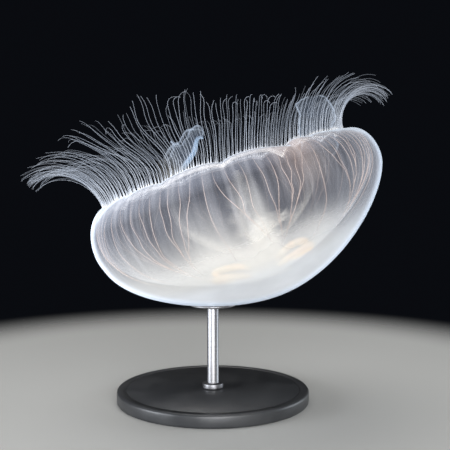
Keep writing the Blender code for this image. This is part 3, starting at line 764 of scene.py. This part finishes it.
def tentacle_lines(draw):
    """Each heading turns from along the axis to outward, by the 1.3 power of the way along, to
    a lean set by the side it stands on; across the model's middle it also keeps upright,
    and left of it swings out and back by a sine. On top of that it waves, and its last
    part curls in a plane of its own. The points are the running sum of the steps."""
    angles = circle(TENTACLES) + draw.normal(0, 0.15, TENTACLES) * math.tau / TENTACLES
    side = np.cos(angles)[:, None]
    calm = drift(angles, (5, 9, 17), draw)[:, None]
    end_lean = np.interp(side, TENTACLE_PLACES, TENTACLE_END_LEANS)
    end_lean = np.radians(end_lean + 9 * calm + draw.normal(0, 5, (TENTACLES, 1)))
    lengths = np.interp(side, TENTACLE_PLACES, TENTACLE_LENGTHS)
    lengths = lengths * (0.98 + 0.07 * drift(angles, (7, 13, 29), draw)[:, None])
    lengths = lengths * (1 - np.abs(draw.normal(0, 0.07, (TENTACLES, 1))))
    t = 1 - np.linspace(1, 0, TENTACLE_POINTS) ** 1.6
    middle = (t[1:] + t[:-1]) / 2
    lean = TENTACLE_ROOT_LEAN + (end_lean - TENTACLE_ROOT_LEAN) * middle**1.3
    swing = np.exp(-(((side + 0.5) / 0.28) ** 2)) * np.sin(math.pi * rise(middle, 0.1, 0.7))
    lateral = (UPRIGHT * (1 - side**2) * np.cos(lean) - LEFT_SWING * swing)[..., None]
    flat, around = outward(angles)[:, None], outward(angles + math.pi / 2)[:, None]
    lean = lean[..., None]
    heading = unit(flat * np.sin(lean) + (0, 0, 1) * np.cos(lean) + (1, 0, 0) * lateral)
    plane = (math.pi * drift(angles, (3, 5, 8), draw) + draw.normal(0, 0.5, TENTACLES))[:, None, None]
    sideways = around * np.cos(plane) + np.cross(around, heading) * np.sin(plane)
    sideways = unit(sideways - heading * (sideways * heading).sum(-1, keepdims=True))
    phase = 5 * drift(angles, (4, 7, 12), draw)[:, None] + draw.normal(0, 0.4, (TENTACLES, 1))
    loose = 0.2 + 0.8 * np.exp(-(((side + 0.15) / 0.5) ** 4))
    wave = 0.22 * loose * np.sin(9 * middle + phase) * middle
    curl = np.radians(150 * drift(angles, (6, 11, 23), draw) + 60 + draw.normal(0, 45, TENTACLES))
    bend = (wave + curl[:, None] * loose * rise(middle, 0.80, 0.20) ** 1.4)[..., None]
    turned = heading * np.cos(bend) + sideways * np.sin(bend)
    steps = turned * (np.diff(t) * lengths)[..., None]
    inset = TENTACLE_INSET + TENTACLE_STAGGER * (np.arange(TENTACLES) % 2)
    root = bell_place(WALL_LENGTH - inset, TENTACLE_DEPTH, angles)[:, None]
    lines = np.concatenate([root, root + np.cumsum(steps, axis=1)], axis=1)
    normal = np.cross(heading, sideways)
    normal = np.concatenate([normal[:, :1], normal], axis=1)
    strength = 0.60 + 0.45 * drift(angles, (19, 31, 43), draw) + draw.normal(0, 0.22, TENTACLES)
    strength = np.clip(strength - 0.30 * rise(side[:, 0], 0.3, 0.5), 0.10, 1)
    return lines, normal, np.broadcast_to(t, lines.shape[:2]), np.repeat(strength, TENTACLE_POINTS)


hair, tree, surface = shader("tentacle")
way = number(tree, "along_tentacle")
strength = number(tree, "strength")
clouds = cloudy(tree, 60.0, 0.8, 1.1)
hair_tint = ramp(
    tree, way,
    [(0.0, (0.90, 0.90, 0.90)), (0.05, (0.42, 0.45, 0.50)), (0.4, (0.24, 0.27, 0.32)),
     (1.0, (0.30, 0.33, 0.38))],
)
thick = ramp(tree, way, [(0.0, 0.95), (0.05, 0.60), (0.5, 0.45), (1.0, 0.40)])
faint = add_node(tree, "ShaderNodeMapRange", Value=strength, To_Min=0.25, To_Max=1.2).outputs["Result"]
bead = add_node(tree, "ShaderNodeMapRange", Value=way, From_Min=0.02, From_Max=0.06).outputs["Result"]
shown = sums(tree, "MULTIPLY", thick, between(tree, bead, 1.0, faint))
shown = sums(tree, "MULTIPLY", shown, clouds, clamp=True)
fill(tree, surface, Base_Color=hair_tint, Alpha=shown, Roughness=0.4)

lines, around, way_along, strengths = tentacle_lines(np.random.default_rng(5))
hair_radii = np.interp(
    way_along, (0, 0.02, 0.05, 1),
    (TENTACLE_BEAD_RADIUS, TENTACLE_NECK_RADIUS, TENTACLE_RADIUS, TENTACLE_TIP_RADIUS),
)
hair_points, hair_faces = tubes(posed(lines), hair_radii, around @ tilt.T, HAIR_SIDES)
tentacles = build("tentacles", hair_points, hair_faces, hair)
mark(tentacles, "along_tentacle", per_tube(way_along, HAIR_SIDES))
mark(tentacles, "strength", per_tube(strengths.reshape(TENTACLES, -1), HAIR_SIDES))
flat_map(tentacles, strip_map(TENTACLES, TENTACLE_POINTS, HAIR_SIDES))
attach(tentacles, "root")

# ------------------------------ mouth and oral arms
# Under the bell hangs a short, four-cornered mouth tube. Each corner draws out into a long oral
# arm: a thin sheet folded along a firm midrib, with its two lips gathered into frills.

MOUTH_TOP = -51.0 * MM
MOUTH_COLUMNS = 120
MOUTH_PROFILE = np.array([  # radius and height above the bell's floor, from the foot to the pit
    (17.5, 0.15), (15.0, 0.6), (12.8, 2.2), (11.6, 5.0), (10.8, 9.0), (11.2, 13.5), (12.3, 17.0),
    (12.1, 17.9), (11.2, 17.7), (9.6, 13.5), (8.6, 9.0), (7.4, 5.5), (4.0, 4.4), (0.4, 4.2),
]) * MM
LIP_WAVE = 0.9 * MM
ARM_ROUTES = {  # in mm, from the mouth to the tip
    "left": (
        (-9.5, 0, -51), (-24, -3, -44), (-37, -5, -31), (-41, -6, -15), (-34, -5, -1),
        (-26.5, -3, 6.5), (-18, -1, 13.5), (-14, 0, 20.3), (-10.7, 0, 20.2),
    ),
    "right": (
        (9.5, 0, -51), (24, 4, -45), (40, 8, -32), (48, 10, -17), (54, 11, -3), (57, 11, 11),
        (59.5, 10, 24),
    ),
    "front": (
        (0, -9.5, -51), (3, -21, -47.5), (7, -33, -43.5), (10, -43, -40), (12, -50, -37),
        (13, -55, -34), (13, -58, -31),
    ),
    "back": (
        (0, 9.5, -51), (-3, 22, -46), (-5, 35, -39), (-4, 46, -31), (-2, 54, -22), (0, 58, -13),
        (2, 58, -4),
    ),
}
ARM_SHAPES = {  # at the tip: turn about the midrib, fold, width and taper; milkiness, midrib, way out
    "left": (math.radians(180), math.radians(72), 1.4, 0.26, 0.42, 1.0, 1.0),
    "right": (math.radians(-90), math.radians(12), 1.15, 0.07, 0.50, 0.0, 1.0),
    "front": (0.0, math.radians(15), 1.2, 0.26, 1.3, 0.6, 0.4),
    "back": (0.0, math.radians(38), 1.0, 0.26, 1.0, 0.6, 0.5),
}
ARM_HALF_WIDTH = 9.5 * MM
MIDRIB_SWELL = 0.75 * MM
ARM_FOLD = math.radians(38)
ARM_ROWS = 150
ARM_STATIONS = 21
SHEET_HALF_THICKNESS = 0.28 * MM
LIP_HALF_THICKNESS = 0.55 * MM
ARM_CHANGE_START, ARM_CHANGE_SPAN = 0.28, 0.28  # where an arm takes on the shape of its tip
RUFFLE = 2.4 * MM
RUFFLE_WAVES = ((5.3, 1.0), (11.7, 0.55), (23.1, 0.28))  # waves along an arm, and their height


def smooth_route(points, count):
    """Points along the Catmull-Rom curve through a route."""
    padded = np.array([points[0], *points, points[-1]], float) * MM
    t = np.linspace(0, len(points) - 1, count)
    i = np.minimum(t.astype(int), len(points) - 2)
    u = (t - i)[:, None]
    p0, p1, p2, p3 = (padded[i + k] for k in range(4))
    square, cube = 2 * p0 - 5 * p1 + 4 * p2 - p3, 3 * p1 - p0 - 3 * p2 + p3
    return (2 * p1 + (p2 - p0) * u + square * u**2 + cube * u**3) / 2


def arm_surface(points, twist, end_fold, end_width, taper, milkiness, midrib, way_out, draw):
    """A sheet along a route: across it, each half rises from the midrib at the fold angle, and
    ruffles of three wavelengths push it along its normal by the square of the way to the
    lip. Towards the tip the sheet turns about its midrib and its fold and width change. Its
    two sides are set off by its thickness, which swells at the lips and the midrib. Its
    faces point inwards."""
    line = smooth_route(points, ARM_ROWS)
    t = np.linspace(0, 1, ARM_ROWS)[:, None]
    v = np.linspace(-1, 1, ARM_STATIONS)[None]
    late = rise(t, ARM_CHANGE_START, ARM_CHANGE_SPAN)
    late = late * late * (3 - 2 * late)
    ahead = unit(np.gradient(line, axis=0))
    side = np.cross((0, 0, 1), line[0] * (1, 1, 0))
    side = unit(side - ahead * (ahead * side).sum(-1, keepdims=True))
    up = np.cross(ahead, side)
    straight, turned = np.cos(twist * late), np.sin(twist * late)
    side, up = side * straight + up * turned, up * straight - side * turned
    full = 1 + (end_width - 1) * late
    width = ARM_HALF_WIDTH * np.minimum(0.55 + 1.8 * t, full) * np.clip((1.01 - t) / taper, 0, 1) ** 0.6
    width = width * (1 + 0.10 * np.sin(31 * t + 2 * v + draw.uniform(0, 6)))
    fold = (ARM_FOLD + (end_fold - ARM_FOLD) * late) * (1 + 0.25 * np.sin(5 * t + draw.uniform(0, 6)))
    wave = np.zeros_like(t * v)
    for count, size in RUFFLE_WAVES:
        phase = draw.uniform(0, 6, 2)
        wave = wave + size * np.sin(math.tau * count * t + np.where(v > 0, *phase) + 1.1 * v)
    ruffle = RUFFLE * wave * v**2 * width / ARM_HALF_WIDTH
    reach = width * v * np.cos(fold) - ruffle * np.sin(fold) * np.sign(v)
    height = width * np.abs(v) * np.sin(fold) + ruffle * np.cos(fold)
    sheet = line[:, None] + reach[..., None] * side[:, None] + height[..., None] * up[:, None]
    normal = unit(np.cross(np.gradient(sheet, axis=0), np.gradient(sheet, axis=1)))
    half = SHEET_HALF_THICKNESS + (LIP_HALF_THICKNESS - SHEET_HALF_THICKNESS) * np.abs(v) ** 10
    half = half + midrib * MIDRIB_SWELL * np.exp(-((v / 0.10) ** 2)) * (1 - 0.4 * t)
    front, rear = sheet + half[..., None] * normal, sheet - half[..., None] * normal
    skin = np.concatenate([front, rear[:, ::-1]], axis=1)
    plain = np.maximum(np.abs(v), 0.35 * (1 - midrib) * late)
    lip = np.concatenate([plain, plain], axis=1)
    ends = np.stack([skin[0].mean(0), skin[-1].mean(0)])
    marks = np.stack([lip, np.broadcast_to(way_out * t, lip.shape), np.full(lip.shape, milkiness)])
    end_marks = np.array([(0, 0), (0, way_out), (milkiness, milkiness)])
    marks = np.concatenate([marks.reshape(3, -1), end_marks], axis=1)
    return np.concatenate([skin.reshape(-1, 3), ends]), closed_faces(*skin.shape[:2]), marks


def mouth_surface():
    """A flared foot on the bell's floor, a waist, a lip and the inside down to the pit; the
    radius swells by the cosine of four times the angle, more towards the lip, and a finer
    wave of the angle lifts the lip."""
    angles = circle(MOUTH_COLUMNS)
    floor_z = -BELL_DEPTH + GEL_THICKNESS[0]
    up = np.clip(MOUTH_PROFILE[:, 1] / (MOUTH_TOP - floor_z), 0, 1)[:, None]
    radius = MOUTH_PROFILE[:, :1] * (
        1 + 0.14 * up**1.5 * np.cos(4 * angles) + 0.03 * up**3 * np.sin(28 * angles)
    )
    height = floor_z + MOUTH_PROFILE[:, 1:] + LIP_WAVE * up**3 * np.sin(20 * angles)
    skin = radius[..., None] * outward(angles) + height[..., None] * (0, 0, 1)
    ends = np.array([(0, 0, floor_z - 0.2 * MM), (0, 0, height[-1].mean())])
    lip = np.append(np.repeat(up[:, 0] * 0.3, MOUTH_COLUMNS), (0, 0))
    marks = np.stack([lip, 0 * lip, 0 * lip + 1])
    return np.concatenate([skin.reshape(-1, 3), ends]), closed_faces(*skin.shape[:2]), marks


frill, tree, surface = shader("oral_frill")
lip_way = number(tree, "lip")
arm_way = number(tree, "along_arm")
clouds = cloudy(tree, 55.0, 0.75, 1.2)
outside = smooth_rise(tree, arm_way, 0.52, 0.70)
near_tint = ramp(tree, lip_way, [(0.0, (0.66, 0.63, 0.57)), (1.0, (0.62, 0.60, 0.56))])
far_tint = ramp(
    tree, lip_way, [(0.0, (0.42, 0.58, 0.78)), (0.3, (0.34, 0.42, 0.56)), (1.0, (0.56, 0.66, 0.80))]
)
near_body = ramp(tree, lip_way, [(0.0, 0.50), (0.3, 0.38), (0.7, 0.18), (1.0, 0.0)])
deep = ramp(tree, arm_way, [(0.0, 0.7), (0.18, 0.7), (0.36, 0.2), (1.0, 0.2)])
far_body = ramp(tree, lip_way, [(0.0, 0.90), (0.10, 0.60), (0.20, 0.07), (0.86, 0.06), (0.98, 0.36)])
body = between(tree, outside, sums(tree, "MULTIPLY", near_body, deep), far_body)
body = sums(tree, "MULTIPLY", body, number(tree, "milkiness"))
body = sums(tree, "MULTIPLY", body, clouds, clamp=True)
fill(tree, surface, Base_Color=blend(tree, outside, near_tint, far_tint), Alpha=body, Roughness=0.35)
grainy(tree, surface, 700.0, 0.2, 0.0003)

draw = np.random.default_rng(12)
sheets = [arm_surface(ARM_ROUTES[arm], *ARM_SHAPES[arm], draw) for arm in ARM_ROUTES]
sheets.append(mouth_surface())
frill_points, frill_faces = join(*[(points, faces) for points, faces, _ in sheets])
oral_frills = build("mouth_and_oral_arms", posed(frill_points), frill_faces, frill)
lip_marks = np.concatenate([marks for _, _, marks in sheets], axis=1)
for name, values in zip(("lip", "along_arm", "milkiness"), lip_marks):
    mark(oral_frills, name, values)
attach(oral_frills, "root")
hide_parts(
    "mouth", *[f"oral_arm_{side}_{part}" for side in ARM_ROUTES for part in ("base", "tip")]
)

# ------------------------------ gonads
# Four horseshoes of cream to pale orange tissue lie on the floor of the stomach pouches,
# open towards the mouth. Each is a soft ribbon gathered into fine pleats.

GONAD_RING_RADIUS = 27.0 * MM
GONAD_BEND_RADIUS = 9.8 * MM
GONAD_HALF_WIDTH = 2.5 * MM
GONAD_HALF_HEIGHT = 2.0 * MM
GONAD_SWEEP = math.radians(285)
GONAD_ROWS = 150
GONAD_SIDES = 20
GONAD_PLEATS = 34
GONAD_PLEAT_DEPTH = 0.13
GONAD_LIFT_RADIUS = 40.0 * MM  # where the floor's lift to the sides is taken in full


def gonad_surface(middle):
    """A rounded ribbon along most of a circle. Its section is an ellipse that shrinks to the
    ends by a root of the sine, pleated by a sine of the way along, and stands on the floor."""
    t = np.linspace(0.004, 0.996, GONAD_ROWS)[:, None]
    q = circle(GONAD_SIDES)
    turn = middle + GONAD_SWEEP * (t - 0.5)
    ends = np.sin(math.pi * t) ** 0.35
    pleat = np.sin(math.tau * GONAD_PLEATS * t + 1.5 * np.sin(q)) * np.abs(np.sin(q / 2))
    pleat = 1 + GONAD_PLEAT_DEPTH * pleat
    across = GONAD_HALF_WIDTH * ends * pleat * np.cos(q)
    up = GONAD_HALF_HEIGHT * ends * (0.85 + 0.15 * pleat) * np.sin(q)
    bend = GONAD_BEND_RADIUS * (1 + 0.06 * np.sin(3 * turn + 5 * middle)) + across
    x = GONAD_RING_RADIUS * np.cos(middle) + bend * np.cos(turn)
    y = GONAD_RING_RADIUS * np.sin(middle) + bend * np.sin(turn)
    radius, angle = np.hypot(x, y), np.arctan2(y, x)
    lengths = np.linspace(0, 0.6 * WALL_LENGTH, 200)
    floor_line = bell_place(lengths, 1.0, math.pi / 2)
    height = np.interp(radius, floor_line[:, 1], floor_line[:, 2]) + GONAD_HALF_HEIGHT + up
    part_way = 0.3 * WALL_LENGTH
    lift = bell_place(part_way, 1.0, angle)[..., 2] - bell_place(part_way, 1.0, math.pi / 2)[2]
    skin = np.stack([x, y, height + lift * radius / GONAD_LIFT_RADIUS], -1)
    tips = np.stack([skin[0].mean(0), skin[-1].mean(0)])
    return np.concatenate([skin.reshape(-1, 3), tips]), closed_faces(GONAD_ROWS, GONAD_SIDES, turned=True)


roe, tree, surface = shader("gonad_tissue")
clouds = cloudy(tree, 70.0, 0.0, 1.0)
tint = ramp(tree, clouds, [(0.0, (0.84, 0.46, 0.20)), (0.45, (0.88, 0.66, 0.40)), (1.0, (0.90, 0.80, 0.62))])
fill(tree, surface, Base_Color=tint, Roughness=0.45)
grainy(tree, surface, 1100.0, 0.35, 0.0003)

gonad_points, gonad_faces = join(*[gonad_surface(math.radians(45 + 90 * n)) for n in range(4)])
gonads = build("gonads", posed(gonad_points), gonad_faces, roe)
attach(gonads, "root")
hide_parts(*[f"gonad_{n}" for n in range(1, 5)])

# ------------------------------ stand
# The swimmer is held up by a plain museum stand: a turned, satin black base, a brushed
# steel rod screwed into it with a collar, and a thin steel saucer that cradles the bell.

BASE_EDGE = 1.6 * MM
BASE_GROOVE = ((5.0, 0), (5.3, 0.35), (5.9, 0.35), (6.2, 0))  # in mm, in from the edge and down
COLLAR_RADIUS = 6.2 * MM
COLLAR_HEIGHT = 3.0 * MM
COLLAR_EDGE = 0.5 * MM
COLLAR_FILLET = 0.4 * MM
ROD_EDGE = 0.3 * MM
LATHE_COLUMNS = 160
SAUCER_THICKNESS = 2.2 * MM
SAUCER_GAP = 0.3 * MM
SAUCER_COLUMNS = 96
SAUCER_SECTION = (  # out from the middle as a part of the radius, down as one of the thickness
    (0.02, 0), (0.2, 0), (0.4, 0), (0.6, 0), (0.8, 0), (0.93, 0), (0.985, 0.12), (1.0, 0.35),
    (0.985, 0.58), (0.93, 0.68), (0.8, 0.8), (0.6, 0.9), (0.4, 1), (0.2, 1), (0.02, 1),
)


def lathe(name, outline, centre, material):
    """An outline of radius and height turned about an upright axis; it starts and ends on it."""
    outline = np.array(outline)
    ring = outline[1:-1, :, None, None]
    skin = ring[:, 0] * outward(circle(LATHE_COLUMNS)) + ring[:, 1] * (0, 0, 1)
    ends = outline[[0, -1], 1:] * (0, 0, 1)
    points = np.concatenate([skin.reshape(-1, 3), ends]) + (centre[0], centre[1], 0)
    return build(name, points, closed_faces(*skin.shape[:2]), material)


def rounded(radius, low, high, edge, steps=5):
    """The outline of a disc from its bottom centre to its top centre, with rounded edges."""
    bend = np.linspace(0, math.pi / 2, steps)
    inner = radius - edge
    lower = [(inner + edge * math.sin(b), low + edge * (1 - math.cos(b))) for b in bend]
    upper = [(inner + edge * math.cos(b), high - edge * (1 - math.sin(b))) for b in bend]
    return [(0, low), *lower, *upper, (0, high)]


satin, tree, surface = shader("satin_black")
dust = cloudy(tree, 45.0, 0.0, 1.0)
black = ramp(tree, dust, [(0.0, (0.018, 0.019, 0.021)), (1.0, (0.030, 0.031, 0.033))])
fill(tree, surface, Base_Color=black, Roughness=ramp(tree, dust, [(0.0, 0.34), (1.0, 0.46)]))
grainy(tree, surface, 1500.0, 0.25, 0.0001)

steel, tree, surface = shader("brushed_steel")
stretched = add_node(tree, "ShaderNodeMapping", _0=object_place(tree), _3=(60, 60, 2500)).outputs["Vector"]
scratches = add_node(tree, "ShaderNodeTexNoise", Vector=stretched, Scale=1.0, Detail=3.0).outputs["Fac"]
grey = ramp(tree, scratches, [(0.3, (0.19, 0.19, 0.20)), (0.7, (0.29, 0.29, 0.30))])
dull = ramp(tree, scratches, [(0.3, 0.36), (0.7, 0.50)])
fill(tree, surface, Base_Color=grey, Roughness=dull, Metallic=1.0)
relief(tree, surface, scratches, 0.15, 0.00005)

base_low, base_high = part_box("stand_base")
base_radius = (base_high.x - base_low.x) / 2
base_centre = (base_low + base_high) / 2
base_outline = rounded(base_radius, base_low.z, base_high.z, BASE_EDGE)
base_outline[-1:-1] = [(base_radius - inset * MM, base_high.z - down * MM) for inset, down in BASE_GROOVE]
base = lathe("display_base", base_outline, base_centre, satin)
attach(base, "root")
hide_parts("stand_base")

rod_radius = (rod_high.x - rod_low.x) / 2
collar_top = rod_low.z + COLLAR_HEIGHT
rod_outline = rounded(COLLAR_RADIUS, rod_low.z, collar_top, COLLAR_EDGE)[:-1]
rod_outline += [(rod_radius + COLLAR_FILLET, collar_top), (rod_radius, collar_top + COLLAR_FILLET)]
rod_outline += rounded(rod_radius, rod_low.z, rod_high.z, ROD_EDGE)[-6:]
rod = lathe("display_rod", rod_outline, rod_axis, steel)
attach(rod, "root")
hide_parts("stand_rod")

saucer_low, saucer_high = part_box("stand_saucer")
saucer_radius = (saucer_high.x - saucer_low.x) / 2
saucer_middle = np.array(rod_axis) * (1, 1, 0)
wall = posed(bell_place(np.linspace(0.02, 0.5, 60)[:, None] * WALL_LENGTH, 0.0, bell_angles[::5]))
wall = wall.reshape(-1, 3) - saucer_middle
near = wall[np.hypot(wall[:, 0], wall[:, 1]) < 1.4 * saucer_radius]


def terms(x, y):
    """The powers of two coordinates, up to the third, that fit a shallow bowl."""
    return np.stack([x**i * y**j for i in range(4) for j in range(4 - i)], -1)


bowl = np.linalg.lstsq(terms(near[:, 0], near[:, 1]), near[:, 2], rcond=None)[0]
ways, drops = np.array(SAUCER_SECTION).T[..., None]
x, y = (ways * saucer_radius * curve(circle(SAUCER_COLUMNS)) for curve in (np.cos, np.sin))
z = terms(x, y) @ bowl - SAUCER_GAP - drops * SAUCER_THICKNESS
dish = np.stack([x, y, z], -1) + saucer_middle
middles = np.stack([dish[0].mean(0), dish[-1].mean(0)])
dish_faces = closed_faces(*dish.shape[:2], turned=True)
saucer = build("display_saucer", np.concatenate([dish.reshape(-1, 3), middles]), dish_faces, steel)
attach(saucer, "root")
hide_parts("stand_saucer")
